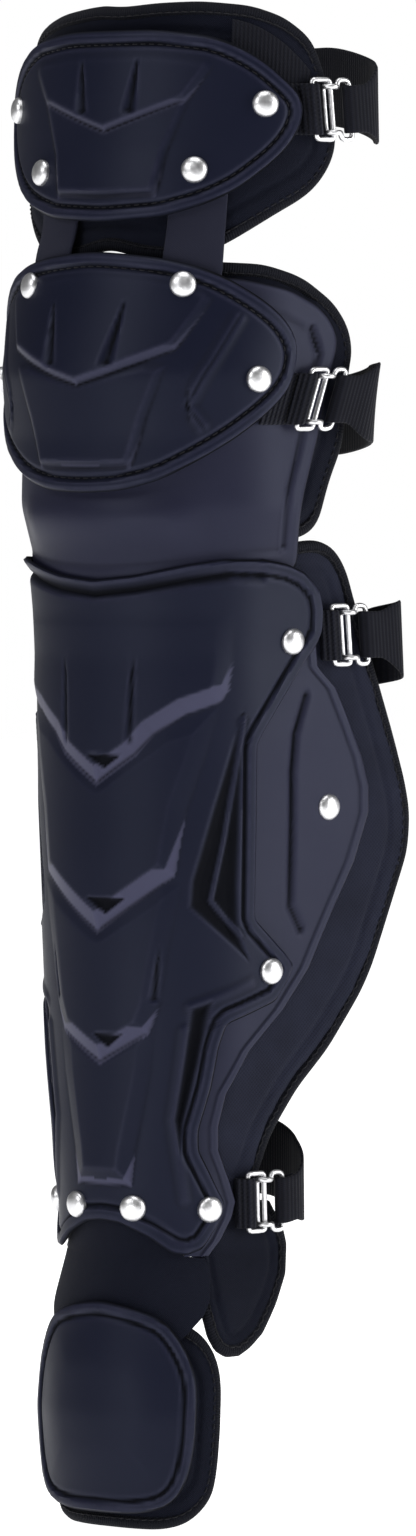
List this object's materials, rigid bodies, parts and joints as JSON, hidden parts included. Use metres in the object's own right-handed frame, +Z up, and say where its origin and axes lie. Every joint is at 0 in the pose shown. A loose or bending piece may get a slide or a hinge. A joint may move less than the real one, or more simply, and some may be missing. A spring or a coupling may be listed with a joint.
{
  "type": "catcher leg guard",
  "caption": "Leg guard with a thigh plate, knee cap over a brace, long shin plate with side wings and a toe guard, on sewn pads with hooked elastic straps.",
  "frame": {"origin": "on the leg's axis at mid shin, 337 mm above the toe pad's foot", "axes": "+Z up along the leg, -Y to the front of the leg, +X to the side where the straps hook"},
  "size_m": [0.1816, 0.163, 0.6843],
  "materials": {
    "shell_plastic": "satin moulded navy",
    "wing_plastic": "satin moulded slate navy",
    "pad_fabric": "woven and mesh black navy fabric with bound edges",
    "hinge_webbing": "stiff flat webbing",
    "webbing": "ribbed black webbing and elastic",
    "nickel": "bright nickel plate"
  },
  "bodies": {
    "root": {"thigh_shell": "shell_plastic", "knee_shell": "shell_plastic", "shin_shell": "shell_plastic", "toe_shell": "shell_plastic", "brace_shell": "wing_plastic", "wing_left": "wing_plastic", "wing_right": "wing_plastic", "thigh_pad": "pad_fabric", "knee_pad": "pad_fabric", "shin_pad": "pad_fabric", "ankle_pad_left": "pad_fabric", "ankle_pad_right": "pad_fabric", "instep_flap": "pad_fabric", "toe_pad": "pad_fabric", "hinge_strap_left": "hinge_webbing", "hinge_strap_right": "hinge_webbing", "thigh_strap": "webbing", "thigh_tab": "webbing", "thigh_ring": "nickel", "thigh_hook": "nickel", "knee_strap": "webbing", "knee_tab": "webbing", "knee_ring": "nickel", "knee_hook": "nickel", "calf_strap": "webbing", "calf_tab": "webbing", "calf_ring": "nickel", "calf_hook": "nickel", "ankle_strap": "webbing", "ankle_tab": "webbing", "ankle_ring": "nickel", "ankle_hook": "nickel", "rivet_thigh_low_left": "nickel", "rivet_thigh_low_right": "nickel", "rivet_thigh_side_left": "nickel", "rivet_thigh_side_right": "nickel", "rivet_knee_top_left": "nickel", "rivet_knee_top_right": "nickel", "rivet_knee_side_left": "nickel", "rivet_knee_side_right": "nickel", "rivet_shin_top_left": "nickel", "rivet_shin_top_right": "nickel", "rivet_wing_left": "nickel", "rivet_wing_right": "nickel", "rivet_shin_lug_left": "nickel", "rivet_shin_lug_right": "nickel", "rivet_foot_side_left": "nickel", "rivet_foot_side_right": "nickel", "rivet_foot_mid_left": "nickel", "rivet_foot_mid_right": "nickel"}
  },
  "joints": []
}
